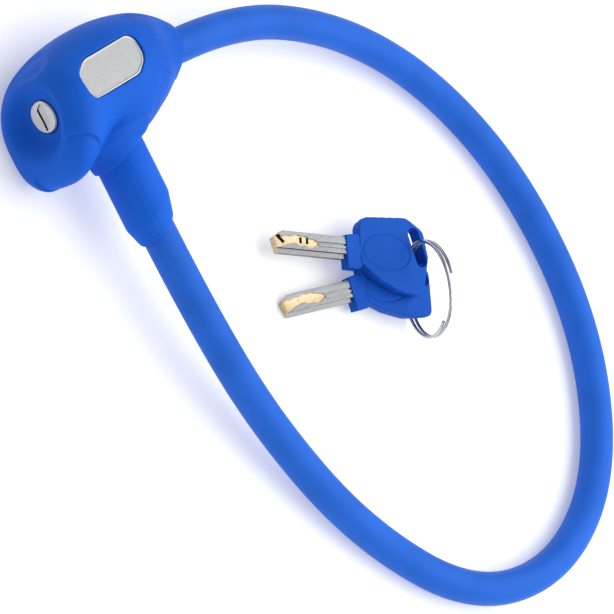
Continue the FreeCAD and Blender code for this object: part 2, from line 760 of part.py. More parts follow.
anchor_form = turned("anchor_form", "X", [
    ("anchor_start", "0"), ("anchor_start", "anchor_radius"), ("core_tail_end", "anchor_radius"),
    ("core_tail_end", "rope_radius"), ("anchor_floor", "rope_radius"), ("anchor_floor", "0")])
anchor_pin = rod("anchor_pin", "anchor_pin_radius", "2 * core_tail_radius - 2 * bolt_gap",
                 "anchor_pin_x", "0", "axis_height - core_tail_radius + bolt_gap")


def path_along(points):
    """Straight runs joined by tangent arcs, each as large as its two runs allow."""
    places = [Vector(*p) for p in points]
    edges = []
    here = places[0]
    radii = []
    for before, corner, after in zip(places, places[1:], places[2:]):
        into = corner - before
        out = after - corner
        turn = into.getAngle(out)
        shorter = min(into.Length, out.Length)
        reach = 0.45 * shorter
        radius = reach / math.tan(turn / 2)
        radii.append(radius)
        start = corner - into.normalize() * reach
        end = corner + out.normalize() * reach
        inward = (out - into).normalize()
        middle = corner + inward * (radius / math.cos(turn / 2) - radius)
        edges.append(Part.LineSegment(here, start).toShape())
        edges.append(Part.Arc(start, middle, end).toShape())
        here = end
    edges.append(Part.LineSegment(here, places[-1]).toShape())
    return Part.Wire(edges), radii


def tube_along(points, radius):
    """A round solid along a route."""
    path, radii = path_along(points)
    first = Vector(*points[1]) - Vector(*points[0])
    circle = Part.makeCircle(radius, Vector(*points[0]), first)
    solid = path.makePipeShell([Part.Wire(circle)], True, False)
    return solid, path.Length, radii


def make_cable():
    """The steel rope, and the sleeve of silicone round it."""
    height = size("axis_height")
    inner = [(size("anchor_floor"), 0.0, height)] + ROUTE + [(0.0, size("-ferrule_floor"), height)]
    outer = [(size("jacket_start"), 0.0, height)] + ROUTE + [(0.0, size("-ferrule_end"), height)]
    rope_solid, rope_length, _ = tube_along(inner, size("rope_radius"))
    outside, jacket_length, radii = tube_along(outer, size("cable_radius"))
    bore, _, _ = tube_along(inner, size("rope_radius"))
    jacket_solid = outside.cut(bore)
    area = math.pi * (size("cable_radius") ** 2 - size("rope_radius") ** 2)
    print("cable: %.1f mm of jacket, arcs" % jacket_length, ["%.0f" % r for r in radii])
    print("cable: volume over section times length %.4f" % (jacket_solid.Volume / area / jacket_length))
    rope = doc.addObject("Part::Feature", "cable_rope")
    rope.Shape = rope_solid
    jacket = doc.addObject("Part::Feature", "cable_jacket")
    jacket.Shape = jacket_solid
    return rope, jacket


cable_rope, cable_jacket = make_cable()
anchor_ferrule = cut("anchor_ferrule", anchor_form, rod(
    "anchor_ferrule_hole", "anchor_pin_radius", "4 * anchor_radius", "anchor_pin_x", "0",
    "axis_height - 2 * anchor_radius"))

# Keys

def key_blade_form(label):
    """The blade's outline, with its pointed tip."""
    body = body_of(label)
    sketch = sketch_on(body, label + "_outline", "XY_Plane", along="-blade_thick / 2")
    outline(sketch, [
        ("blade_root", "-blade_width / 2"), ("blade_root", "blade_width / 2"),
        ("blade_tip - blade_length", "blade_width / 2"), ("-blade_length", "blade_width / 8"),
        ("blade_tip - blade_length", "-blade_width / 2")])
    pad = body.newObject("PartDesign::Pad", label + "_pad")
    pad.Profile = sketch
    bind(pad, Length="blade_thick")
    return body


def key_track(label):
    """The wavy track milled into the blade's upper face, as a solid to cut away."""
    body = body_of(label)
    sketch = sketch_on(body, label + "_outline", "XY_Plane", along="blade_thick / 2 - track_depth")
    upper = [(1.02, 0.17), (0.90, 0.26), (0.77, 0.39), (0.65, 0.33), (0.52, 0.23), (0.37, 0.11)]
    lower = [(0.37, -0.06), (0.45, -0.23), (0.55, -0.13), (0.68, -0.20), (0.81, -0.01), (0.94, -0.17)]
    outline(sketch, [("blade_length * -%s" % u, "blade_width * %s" % v) for u, v in upper + lower])
    pad = body.newObject("PartDesign::Pad", label + "_pad")
    pad.Profile = sketch
    bind(pad, Length="2 * track_depth")
    return body


def key_bow_form(label):
    """The moulded grip: a shield with rounded corners."""
    body = body_of(label)
    sketch = sketch_on(body, label + "_outline", "XY_Plane", along="-bow_thick / 2")
    half = [("bow_collar - 1.2", "bow_collar_width"), ("bow_collar + 5.6", "bow_half_width - 0.8"),
            ("bow_length - 7.4", "bow_half_width"), ("bow_length - 1.2", "bow_half_width - 7.6")]
    outline(sketch, [(x, "-(%s)" % y) for x, y in half] + [("bow_length", "0")] + half[::-1])
    pad = body.newObject("PartDesign::Pad", label + "_pad")
    pad.Profile = sketch
    bind(pad, Length="bow_thick")
    last = pad
    for which, (along, _) in zip(("near", "side", "far"), half[1:]):
        doc.recompute()
        corner = size(along)
        rim = body.newObject("PartDesign::Fillet", "%s_round_%s" % (label, which))
        rim.Base = (last, edges_where(last.Shape, lambda p: abs(p.x - corner) < 0.01))
        bind(rim, Radius="bow_round_" + which)
        last = rim
    return body


def make_key(number, place):
    """One key, drawn flat with its shoulder at the origin and laid down by a placement."""
    blade = cut(
        "key_%d_blade" % number, key_blade_form("blade_form_%d" % number),
        key_track("blade_track_%d" % number),
        block("blade_step_%d" % number, "-blade_length - 1", "-blade_width / 2 - 1",
              "blade_thick / 2 - blade_step", "blade_length + 1", "blade_flange + 1", "blade_step + 1"),
        block("blade_undercut_%d" % number, "-blade_length - 1", "blade_width / 2 - blade_flange",
              "-blade_thick / 2 - 1", "blade_length + 1", "blade_flange + 1", "blade_step + 1"),
        block("blade_groove_%d" % number, "-blade_groove_length", "groove_low",
              "blade_thick / 2 - track_depth", "blade_groove_length", "groove_width", "1"))
    shoulder = block(
        "bow_shoulder_%d" % number, "0", "-bow_collar_width", "-bow_thick / 2 + 0.3", "bow_collar",
        "2 * bow_collar_width", "bow_thick - 0.6")
    slot = body_of("bow_slot_%d" % number)
    sketch = sketch_on(slot, "bow_slot_%d_outline" % number, "XY_Plane", along="-bow_thick")
    rounded(sketch, "-slot_width / 2", "slot_width / 2", "-slot_length / 2", "slot_length / 2",
            "slot_width / 2 - 0.01")
    pad = slot.newObject("PartDesign::Pad", "bow_slot_%d_pad" % number)
    pad.Profile = sketch
    bind(pad, Length="2 * bow_thick")
    slot.Placement = Placement(Vector(size("bow_length - slot_inset"), size("slot_across"), 0),
                               Rotation(Vector(0, 0, 1), size("slot_lean")))
    seat = block("blade_seat_%d" % number, "0", "-blade_width / 2", "-blade_thick / 2", "blade_root",
                 "blade_width", "blade_thick")
    bow = cut("key_%d_bow" % number, fuse(
        "bow_blank_%d" % number, key_bow_form("bow_form_%d" % number), shoulder), slot, seat)
    blade.Placement = place
    bow.Placement = place
    return blade, bow


def key_places():
    """The upper key's placement and the lower key's, the upper one flat on the lower one."""
    lift = Rotation(Vector(0, 1, 0), -size("key_pitch"))
    turn = Rotation(Vector(0, 0, 1), size("key_heading"))
    lower = Placement(Vector(size("key_x"), size("key_y"), size("key_z")), turn.multiply(lift))
    step = Placement(Vector(size("fan_along"), size("fan_across"), size("bow_thick + key_gap")),
                     Rotation(Vector(0, 0, 1), size("fan_angle")))
    return lower.multiply(step), lower


def make_ring():
    """A split ring of spring-steel wire, wound nearly twice round, that stands in the two slots."""
    radius = size("ring_radius")
    pitch = size("ring_pitch")
    rise = pitch * size("ring_turns")
    lean = math.radians(size("ring_lean"))
    heading = math.radians(size("ring_heading"))
    print("split ring: gap between turns %.2f mm" % (pitch - size("ring_wire")))
    normal = Vector(math.sin(lean) * math.cos(heading), math.sin(lean) * math.sin(heading),
                    math.cos(lean))
    level = Vector(0, 0, 1).cross(normal).normalize()
    height = (radius + size("ring_wire / 2")) * math.sin(lean) + rise / 2 * math.cos(lean)
    centre = Vector(size("ring_x"), size("ring_y"), height)
    ring = doc.addObject("Part::Feature", "split_ring")
    ring.Shape = coil(radius, pitch, size("ring_turns"), size("ring_wire"))
    turn = Rotation(level, normal.cross(level), normal, "ZXY").multiply(
        Rotation(Vector(0, 0, 1), size("ring_start")))
    ring.Placement = Placement(centre - normal * (rise / 2), turn)
    print("split ring: axis", [round(v, 4) for v in normal], "centre", [round(v, 3) for v in centre])
    return ring


upper_place, lower_place = key_places()
key_1_blade, key_1_bow = make_key(1, upper_place)
key_2_blade, key_2_bow = make_key(2, lower_place)
split_ring = make_ring()

PIECES = [
    head_cover, badge_plate, lock_core, cylinder_housing, key_plug, keyway_shutter, tumbler_pins,
    plug_clip, latch, latch_spring, latch_cap, socket_bush, lock_bolt, bolt_ferrule, bolt_sleeve,
    anchor_ferrule, anchor_pin, cable_rope, cable_jacket, key_1_blade, key_1_bow, key_2_blade,
    key_2_bow, split_ring,
]

doc.recompute()
for item in doc.Objects:
    if "Invalid" in item.State or "Error" in item.State:
        raise RuntimeError("%s failed: %s" % (item.Label, item.State))
for piece in PIECES:
    if piece.Shape.isNull() or not piece.Shape.isValid() or not piece.Shape.Solids:
        raise RuntimeError("%s has no sound solid" % piece.Label)
os.makedirs("parts", exist_ok=True)
for piece in PIECES:
    piece.Shape.exportStep("parts/%s.step" % piece.Label)
    print("%-18s %d solid(s) %9.1f mm3" % (piece.Label, len(piece.Shape.Solids), piece.Shape.Volume))
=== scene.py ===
import math

import bmesh
import bpy
from bpy.props import FloatProperty, FloatVectorProperty, IntProperty, PointerProperty
from mathutils import Matrix, Vector


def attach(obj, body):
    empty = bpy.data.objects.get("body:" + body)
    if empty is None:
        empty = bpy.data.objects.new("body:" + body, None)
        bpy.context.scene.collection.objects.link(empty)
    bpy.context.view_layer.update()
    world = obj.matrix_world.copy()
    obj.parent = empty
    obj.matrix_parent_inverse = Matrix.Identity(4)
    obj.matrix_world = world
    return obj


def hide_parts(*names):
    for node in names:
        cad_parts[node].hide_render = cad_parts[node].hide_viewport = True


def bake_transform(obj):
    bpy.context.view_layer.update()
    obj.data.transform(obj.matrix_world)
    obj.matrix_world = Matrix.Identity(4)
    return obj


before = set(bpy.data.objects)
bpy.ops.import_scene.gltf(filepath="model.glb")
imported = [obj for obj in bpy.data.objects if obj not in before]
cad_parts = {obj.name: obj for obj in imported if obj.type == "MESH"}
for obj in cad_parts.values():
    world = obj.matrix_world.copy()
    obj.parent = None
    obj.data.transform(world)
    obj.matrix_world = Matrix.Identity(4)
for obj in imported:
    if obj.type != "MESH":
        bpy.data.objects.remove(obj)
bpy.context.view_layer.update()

bl_info = {
    "name": "Cable Lock",
    "version": (1, 0, 0),
    "blender": (4, 5, 0),
    "location": "View3D > Sidebar > Cable Lock",
    "description": "Dresses the packed cable lock: head, cable, sleeve, keys and split ring",
    "category": "Add Mesh",
}

AXIS = 0.017

# The jacket of the head along X: place, half width, rise and fall about the barrel's axis,
# shift in Y, and how far the section leans back for each unit across
STATIONS = [
    (-0.0262, 0.0189, 0.0200, 0.0219, -0.0089, 0.0),
    (-0.0089, 0.01645, 0.0160, 0.0186, 0.00065, 0.0),
    (0.0080, 0.0188, 0.0157, 0.0170, 0.0002, 0.0),
    (0.0220, 0.0157, 0.0132, 0.0144, 0.0011, 0.1),
    (0.0310, 0.0119, 0.0088, 0.0110, 0.0006, 0.25),
    (0.0378, 0.0070, 0.0072, 0.0072, 0.0002, 0.35),
]

# Finger recesses in the jacket: centre of the round end, facing, run, half width, depth, and the
# drift of the recess's floor, which lets its edge fade on one side
RECESSES = [
    ((-0.0153, 0.0136, 0.0157), (-0.47, 0.88, 0.0), (0.0, 0.0, -1.0), 0.0105, 0.0005,
     (0.0, 0.0, 0.0)),
    ((-0.0152, -0.0108, 0.0164), (-0.57, -0.23, 0.79), (-0.46, -0.71, -0.54), 0.0069, 0.0010,
     (-0.0003, -0.0004, -0.0002)),
    ((0.0157, -0.0106, 0.0245), (0.56, -0.66, 0.50), (0.58, -0.12, -0.81), 0.0093, 0.0008,
     (0.0, 0.0, 0.0)),
    ((0.0205, 0.0157, 0.0233), (0.29, 0.50, 0.82), (0.95, -0.04, -0.31), 0.0042, 0.0009,
     (0.0, 0.0, 0.0)),
]

# Flare of the hood round the bolt: distance from the barrel's axis, radius
HOOD_FLARE = [
    (0.0, 0.0128),
    (0.0100, 0.0127),
    (0.0130, 0.0134),
    (0.0155, 0.0128),
    (0.0175, 0.0115),
    (0.0200, 0.0104),
    (0.0280, 0.0100),
]

# A key's grip seen from above, a shield that hangs further down on one side: corners, radius
GRIP_CORNERS = [
    (0.0050, -0.0048, 0.0010),
    (0.0113, -0.0092, 0.0060),
    (0.0192, -0.0127, 0.0120),
    (0.0290, -0.0142, 0.0026),
    (0.0325, -0.0010, 0.0060),
    (0.0312, 0.0076, 0.0034),
    (0.0246, 0.0117, 0.0050),
    (0.0050, 0.0104, 0.0042),
]

# The cable's route from the head to the sleeve
ROUTE = [
    (0.0330, 0.0, 0.017),
    (0.0655, 0.0, 0.017),
    (0.1135, -0.0185, 0.0105),
    (0.1490, -0.0505, 0.0055),
    (0.1665, -0.0950, 0.0055),
    (0.1660, -0.1490, 0.0055),
    (0.1415, -0.1930, 0.0055),
    (0.1025, -0.2100, 0.0055),
    (0.0610, -0.1995, 0.0055),
    (0.0305, -0.1610, 0.0055),
    (0.0115, -0.1160, 0.0095),
    (0.0, -0.0710, 0.017),
    (0.0, -0.0385, 0.017),
]

# Room in the hood for the bolt's bush and sleeve: distance from the barrel's axis, radius
BOLT_SOCKET = [
    (0.0, 0.0080),
    (0.0150, 0.0080),
    (0.0150, 0.0086),
    (0.04, 0.0086),
]

# Hole for the plug in the jacket's front: place along the barrel, radius
PLUG_HOLE = [
    (-0.04, 0.0053),
    (-0.0165, 0.0053),
]

# Where the hood's flare has its centre in X, and how far a recess's slab runs on and stands out
HOOD_CENTRE = 0.0006
SLAB_RUN = 0.05
SLAB_HEIGHT = 0.03

# The badge: thickness, gap round it, half of its outline with the corners' radii, its rim from
# the underside to the face as height and growth, and how it lies on the jacket's roof
BADGE_THICK = 0.0012
BADGE_GAP = 0.0001
BADGE_HALF = [(-0.0149, -0.00618), (0.0076, -0.00618), (0.0137, -0.0024)]
BADGE_ROUNDS = [0.0030, 0.0064, 0.0064]
BADGE_RIM = [
    (-BADGE_THICK, -0.0001),
    (-0.00035, -0.0001),
    (-0.0001, -0.00022),
    (0.0, -0.0005),
    (0.0, -0.0009),
    (-0.00012, -0.00115),
]
BADGE_PLACE = (Matrix.Translation((-0.0001, 0.0044, 0.03115))
               @ Matrix.Rotation(math.radians(-15.5), 4, "X")
               @ Matrix.Rotation(math.radians(1.6), 4, "Z"))

# The sleeve: distances from the barrel's axis, and the radii of its bores
SLEEVE_MOUTH = 0.0151
SLEEVE_LEAN_START = 0.0300
SLEEVE_LEAN_END = 0.0378
SLEEVE_TAPER = 0.0385
SLEEVE_END = 0.0450
SLEEVE_BEVEL = 0.0002
FERRULE_START = 0.0237
BOLT_BORE = 0.0040
FERRULE_BORE = 0.0063
CABLE_BORE = 0.0055

# The sleeve's parting lines: degrees round it, width in degrees, and where they begin
PARTING_LINES = (118.0, 132.0)
PARTING_WIDTH = 1.6
PARTING_START = 0.0161
PARTING_RADIUS = 0.0065

# Where the lower key lies with its turns in degrees, and how the upper one lies on it
LOWER_KEY_PLACE = (0.07398, -0.09492, 0.00385)
LOWER_KEY_TURN = -14.5
LOWER_KEY_TILT = -4.4
UPPER_KEY_SHIFT = (-0.0012, 0.01315)
UPPER_KEY_TURN = -14.5

# The grip: its middle, the overlap and the step between its halves, its collar and its slot
GRIP_MIDDLE = (0.0180, -0.0010)
GRIP_OVERLAP = 0.0002
GRIP_STEP = 0.00045
GRIP_DETAIL = 0.00022
COLLAR_STEP = 0.0003
COLLAR_CORNERS = [
    (-0.0006, -0.0066), (0.0040, -0.0066), (0.0054, -0.0052), (0.0054, 0.0042), (0.0034, 0.0048),
    (-0.0006, 0.0042),
]
SLOT_MIDDLE = (0.0283, 0.0022, 0.0)
SLOT_LEAN = 16
SLOT_HALF_WIDTH = 0.00215
SLOT_HALF_LENGTH = 0.0065
SLOT_ROUND = 0.0020

# The oval line in a grip's faces
OVAL_MIDDLE = (0.0150, -0.0004)
OVAL_RADII = (0.0096, 0.0058)
OVAL_MEAN_RADIUS = 0.0076
OVAL_LINE_WIDTH = 0.00040
OVAL_LINE_DEPTH = 0.00030
OVAL_FACE_DEPTH = 0.0006

# The milled track in a blade as shares of its length and half width: one edge from the tip to
# the track's end, and the other edge back to the tip
TRACK_UPPER = [
    (1.02, 0.42), (0.95, 0.52), (0.89, 0.44), (0.83, 0.60), (0.77, 0.56), (0.70, 0.74),
    (0.64, 0.62), (0.58, 0.66), (0.51, 0.48), (0.45, 0.40), (0.40, 0.22),
]
TRACK_LOWER = [
    (0.40, 0.0), (0.47, -0.26), (0.53, -0.40), (0.59, -0.20), (0.66, -0.30), (0.72, -0.02),
    (0.79, -0.12), (0.86, -0.30), (0.93, -0.52), (1.02, -0.62),
]
TRACK_DEPTH = 0.0005

# The blade: its end in the grip, the step along both edges, and its grooves, which run over a
# share of the length: low side, high side, depth
BLADE_ROOT = 0.012
BLADE_CUT_REACH = 0.04
STEP_WIDTH = 0.0015
STEP_HEIGHT = 0.0012
STEP_OVERHANG = 0.001
GROOVE_SHARE = 0.41
GROOVES = [
    (0.0004, 0.0011, 0.0006),
    (-0.0010, -0.0004, 0.0004),
]
BLADE_BEVEL = 0.00012

# The dimples and the notch at the tip, which only the upper key shows, with painted shade on their
# floors
DIMPLE_SHARES = (0.55, 0.64)
DIMPLE_HALF = 0.0005
DIMPLE_END = 0.0019
DIMPLE_DEPTH = 0.0011
NOTCH_FROM_TIP = 0.0022
NOTCH_ACROSS = 0.0010
NOTCH_TURN = 0.9
NOTCH_HALF_WIDTH = 0.0006
NOTCH_HALF_LENGTH = 0.0019

# The floor, the camera's axes (right, up, back) and the point that the lights face
FLOOR_HALF = 3.0
FLOOR_TOP = -0.0002
FLOOR_UNDERSIDE = -0.0102
CAMERA_AXES = (
    (0.60415, -0.44207, 0.66301),
    (0.39617, 0.88853, 0.23143),
    (-0.69141, 0.12285, 0.71194),
)
LIGHTS_FACE = Vector((0.07, -0.08, 0.0))

# Textures: scale of the clouds in rubber, of its grain and of the scratches in metal
CLOUD_SCALE = 60.0
GRAIN_SCALE = 2600.0
SCRATCH_SCALE = 900.0
METAL_SPECULAR = 0.5
RUBBER_SPECULAR = 0.07


class HeadSizes(bpy.types.PropertyGroup):
    front_round: FloatProperty(
        name="Front rounding", description="Radius of the jacket's rounded front",
        default=0.0119, unit="LENGTH")
    exit_round: FloatProperty(
        name="Exit rounding", description="Radius at the cable's exit", default=0.0016,
        unit="LENGTH")
    roof_squareness: FloatProperty(
        name="Roof squareness", description="2 gives a round roof, more a squarer one", default=2.0)
    base_squareness: FloatProperty(
        name="Base squareness", description="The same for the half under the axis", default=2.7)
    voxel: FloatProperty(
        name="Moulding detail", description="Smallest detail that the moulded skin keeps",
        default=0.00032, unit="LENGTH")
    dish_radius: FloatProperty(
        name="Dish radius", description="Where the dish round the keyhole begins",
        default=0.0135, unit="LENGTH")
    dish_floor: FloatProperty(
        name="Dish floor", description="Place of the dish's floor along the barrel",
        default=-0.0196, unit="LENGTH")
    dish_floor_radius: FloatProperty(
        name="Dish floor radius", description="Radius of the flat floor", default=0.0054,
        unit="LENGTH")
    hood_end: FloatProperty(
        name="Hood end", description="Distance of the hood's lip from the barrel's axis",
        default=0.0189, unit="LENGTH")
    hood_slant: FloatProperty(
        name="Hood slant", description="How far the lip leans for each unit across", default=0.46)


class SleeveSizes(bpy.types.PropertyGroup):
    radius: FloatProperty(
        name="Radius", description="Outer radius of the sleeve", default=0.0083, unit="LENGTH")
    end_radius: FloatProperty(
        name="End radius", description="Radius at the tapered end", default=0.0065, unit="LENGTH")
    ridge: FloatProperty(
        name="Parting line", description="Height of the mould's parting lines", default=0.00010,
        unit="LENGTH")


class CableSizes(bpy.types.PropertyGroup):
    diameter: FloatProperty(
        name="Diameter", description="Diameter of the coated cable", default=0.0110, unit="LENGTH")
    sides: IntProperty(name="Sides", description="Facets round the cable", default=40)


class KeySizes(bpy.types.PropertyGroup):
    blade_length: FloatProperty(
        name="Blade length", description="From the shoulder to the tip", default=0.0286,
        unit="LENGTH")
    blade_width: FloatProperty(
        name="Blade width", description="Width of the blade", default=0.0070, unit="LENGTH")
    blade_thick: FloatProperty(
        name="Blade thickness", description="Thickness of the blade", default=0.0030,
        unit="LENGTH")
    bow_thick: FloatProperty(
        name="Grip thickness", description="Thickness of the grip", default=0.0044,
        unit="LENGTH")
    gap: FloatProperty(
        name="Gap", description="Clearance between the two grips", default=0.0003, unit="LENGTH")


class Finishes(bpy.types.PropertyGroup):
    jacket: FloatVectorProperty(
        name="Head and grips", description="Deep blue of the moulded parts", subtype="COLOR",
        size=3, min=0.0, max=1.0, default=(0.010, 0.116, 0.640))
    cable: FloatVectorProperty(
        name="Cable", description="Blue of the cable's coating", subtype="COLOR", size=3, min=0.0,
        max=1.0, default=(0.022, 0.140, 0.660))
    steel: FloatVectorProperty(
        name="Steel", description="Plated steel", subtype="COLOR", size=3, min=0.0, max=1.0,
        default=(0.46, 0.46, 0.47))
    milled: FloatVectorProperty(
        name="Milled metal", description="Bare metal in the keys' milled tracks", subtype="COLOR",
        size=3, min=0.0, max=1.0, default=(0.66, 0.53, 0.33))


class StageSettings(bpy.types.PropertyGroup):
    camera_place: FloatVectorProperty(
        name="Camera", description="Where the camera stands", subtype="TRANSLATION", size=3,
        default=(-0.658556, 0.035033, 0.737527))
    lens: FloatProperty(
        name="Lens", description="Focal length in millimetres", default=193.4853)
    key_power: FloatProperty(
        name="Main light", description="Power of the large light at the upper right, in watts",
        default=26.0)
    fill_power: FloatProperty(
        name="Fill light", description="Power of the light on the left, in watts", default=3.0)
    floor_glow: FloatProperty(
        name="Floor glow", description="Light that the pale floor gives of itself", default=0.30)
    sky: FloatProperty(name="Sky", description="Strength of the white surroundings", default=0.42)


# Meshes

def object_from(name, mesh_data):
    """Links a smooth-shaded mesh object made from a bmesh."""
    bmesh.ops.recalc_face_normals(mesh_data, faces=mesh_data.faces)
    mesh = bpy.data.meshes.new(name)
    mesh_data.to_mesh(mesh)
    mesh_data.free()
    for polygon in mesh.polygons:
        polygon.use_smooth = True
    made = bpy.data.objects.new(name, mesh)
    bpy.context.scene.collection.objects.link(made)
    return made


def loft(name, rings, wrap=False, sharp_caps=False):
    """A closed skin through rings of points; the ends are capped, or joined when wrap is set."""
    skin = bmesh.new()
    rows = [[skin.verts.new(p) for p in ring] for ring in rings]
    pairs = list(zip(rows, rows[1:])) + ([(rows[-1], rows[0])] if wrap else [])
    for a, b in pairs:
        count = len(a)
        for k in range(count):
            skin.faces.new((a[k], a[(k + 1) % count], b[(k + 1) % count], b[k]))
    if not wrap:
        for row in (rows[0], rows[-1]):
            cap = skin.faces.new(row)
            if sharp_caps:
                for edge in cap.edges:
                    edge.smooth = False
    return object_from(name, skin)


def circle(centre, across, up, radius, sides):
    """Points of a circle in the plane of two unit vectors."""
    turns = [2 * math.pi * k / sides for k in range(sides)]
    return [centre + (across * math.cos(t) + up * math.sin(t)) * radius for t in turns]


def lathe(name, profile, origin, axis, sides=96, wrap=False):
    """A turned solid: profile holds (place along the axis, radius)."""
    axis = Vector(axis)
    across = axis.orthogonal().normalized()
    up = axis.cross(across)
    rings = [circle(Vector(origin) + axis * place, across, up, max(radius, 1e-5), sides)
             for place, radius in profile]
    return loft(name, rings, wrap)


def rounded_outline(points, radii, steps=8):
    """A closed outline whose corners are arcs."""
    outline = []
    count = len(points)
    for k in range(count):
        before, corner, after = (Vector(points[(k + d) % count]) for d in (-1, 0, 1))
        into = (before - corner).normalized()
        out = (after - corner).normalized()
        half = into.angle(out) / 2
        reach = radii[k] / math.tan(half)
        centre = corner + (into + out).normalized() * (radii[k] / math.sin(half))
        start = corner + into * reach - centre
        end = corner + out * reach - centre
        turn = start.angle_signed(end)
        for step in range(steps + 1):
            spin = Matrix.Rotation(-turn * step / steps, 2)
            outline.append(centre + spin @ start)
    return outline


def rectangle(left, right, low, high):
    """The outline of a rectangle."""
    return [(left, low), (right, low), (right, high), (left, high)]


def prism(name, outline, low, high, place=Matrix.Identity(4)):
    """A solid between two heights above a flat outline."""
    rings = [[place @ Vector((p[0], p[1], z)) for p in outline] for z in (low, high)]
    return loft(name, rings)


def settled(piece):
    """Applies a piece's modifiers to its mesh."""
    depsgraph = bpy.context.evaluated_depsgraph_get()
    mesh = bpy.data.meshes.new_from_object(piece.evaluated_get(depsgraph))
    piece.modifiers.clear()
    piece.data = mesh
    return piece


def combine(piece, operation, *tools):
    """Adds or cuts away other solids, and deletes them."""
    for tool in tools:
        step = piece.modifiers.new(operation, "BOOLEAN")
        step.operation = operation
        step.solver = "EXACT"
        step.object = tool
        settled(piece)
        bpy.data.objects.remove(tool)
    return piece


def moulded(piece, voxel, passes):
    """Turns a solid into an even skin whose edges are softened as a mould softens them."""
    skin = piece.modifiers.new("skin", "REMESH")
    skin.mode = "VOXEL"
    skin.voxel_size = voxel
    skin.use_smooth_shade = True
    soften = piece.modifiers.new("soften", "SMOOTH")
    soften.factor = 0.5
    soften.iterations = passes
    return settled(piece)


# Materials

def new_material(name, color, roughness, metallic=0.0):
    """A material of one shader, with its node tree and that shader."""
    made = bpy.data.materials.new(name)
    if made.name != name:
        raise RuntimeError("two finishes are called " + name)
    made.use_nodes = True
    shader = made.node_tree.nodes["Principled BSDF"]
    shader.inputs["Base Color"].default_value = (*color, 1.0)
    shader.inputs["Roughness"].default_value = roughness
    shader.inputs["Metallic"].default_value = metallic
    specular = METAL_SPECULAR if metallic else RUBBER_SPECULAR
    shader.inputs["Specular IOR Level"].default_value = specular
    return made, made.node_tree, shader


def noise(tree, scale, detail=3.0, stretch=(1.0, 1.0, 1.0)):
    """A noise texture in the object's own coordinates."""
    place = tree.nodes.new("ShaderNodeTexCoord")
    mapping = tree.nodes.new("ShaderNodeMapping")
    mapping.inputs["Scale"].default_value = stretch
    texture = tree.nodes.new("ShaderNodeTexNoise")
    texture.inputs["Scale"].default_value = scale
    texture.inputs["Detail"].default_value = detail
    tree.links.new(place.outputs["Object"], mapping.inputs["Vector"])
    tree.links.new(mapping.outputs["Vector"], texture.inputs["Vector"])
    return texture


def ramp(tree, source, low, high, start=0.3, end=0.7):
    """Maps a grey value to a range between two colours or two numbers."""
    steps = tree.nodes.new("ShaderNodeValToRGB")
    steps.color_ramp.elements[0].position = start
    steps.color_ramp.elements[1].position = end
    for element, value in zip(steps.color_ramp.elements, (low, high)):
        element.color = (*value, 1.0) if hasattr(value, "__len__") else (value, value, value, 1.0)
    tree.links.new(source, steps.inputs["Fac"])
    return steps.outputs["Color"]


def bump(tree, shader, height, strength, distance):
    """Fine relief in a surface from a grey value."""
    relief = tree.nodes.new("ShaderNodeBump")
    relief.inputs["Strength"].default_value = strength
    relief.inputs["Distance"].default_value = distance
    tree.links.new(height, relief.inputs["Height"])
    tree.links.new(relief.outputs["Normal"], shader.inputs["Normal"])


def soft_rubber(name, color, roughness, grain):
    """Matte moulded rubber: faint clouds in the colour, fine grain in the surface."""
    made, tree, shader = new_material(name, color, roughness)
    clouds = noise(tree, CLOUD_SCALE)
    darker = [c * 0.90 for c in color]
    lighter = [min(1.0, c * 1.08) for c in color]
    tree.links.new(ramp(tree, clouds.outputs["Fac"], darker, lighter), shader.inputs["Base Color"])
    skin = noise(tree, GRAIN_SCALE, detail=2.0)
    tree.links.new(ramp(tree, skin.outputs["Fac"], roughness - 0.05, roughness + 0.05),
                   shader.inputs["Roughness"])
    bump(tree, shader, skin.outputs["Fac"], grain, distance=0.00005)
    return made


def brushed_metal(name, color, roughness, stretch, grain=0.25, depth=0.86):
    """Metal with fine scratches along one direction; depth is how dark the noise makes the colour:
    scratches, and on the plated blade painted reflection bands too.
    """
    made, tree, shader = new_material(name, color, roughness, metallic=1.0)
    scratches = noise(tree, SCRATCH_SCALE, 4.0, stretch)
    tree.links.new(ramp(tree, scratches.outputs["Fac"], roughness - 0.08, roughness + 0.12),
                   shader.inputs["Roughness"])
    # The noise darkens the colour in streaks: scratches, and where depth is set deep, painted
    # reflection bands
    scratch_and_reflection_tone = [c * depth for c in color]
    tree.links.new(ramp(tree, scratches.outputs["Fac"], scratch_and_reflection_tone, color), shader.inputs["Base Color"])
    bump(tree, shader, scratches.outputs["Fac"], grain, distance=0.00003)
    return made


def paint(piece, *materials):
    """Gives a piece its materials, the first for every face that has no other."""
    piece.data.materials.clear()
    for material in materials:
        piece.data.materials.append(material)
    return piece


def finish_of(name):
    """A finish made by the finishes operator."""
    return bpy.data.materials[name]


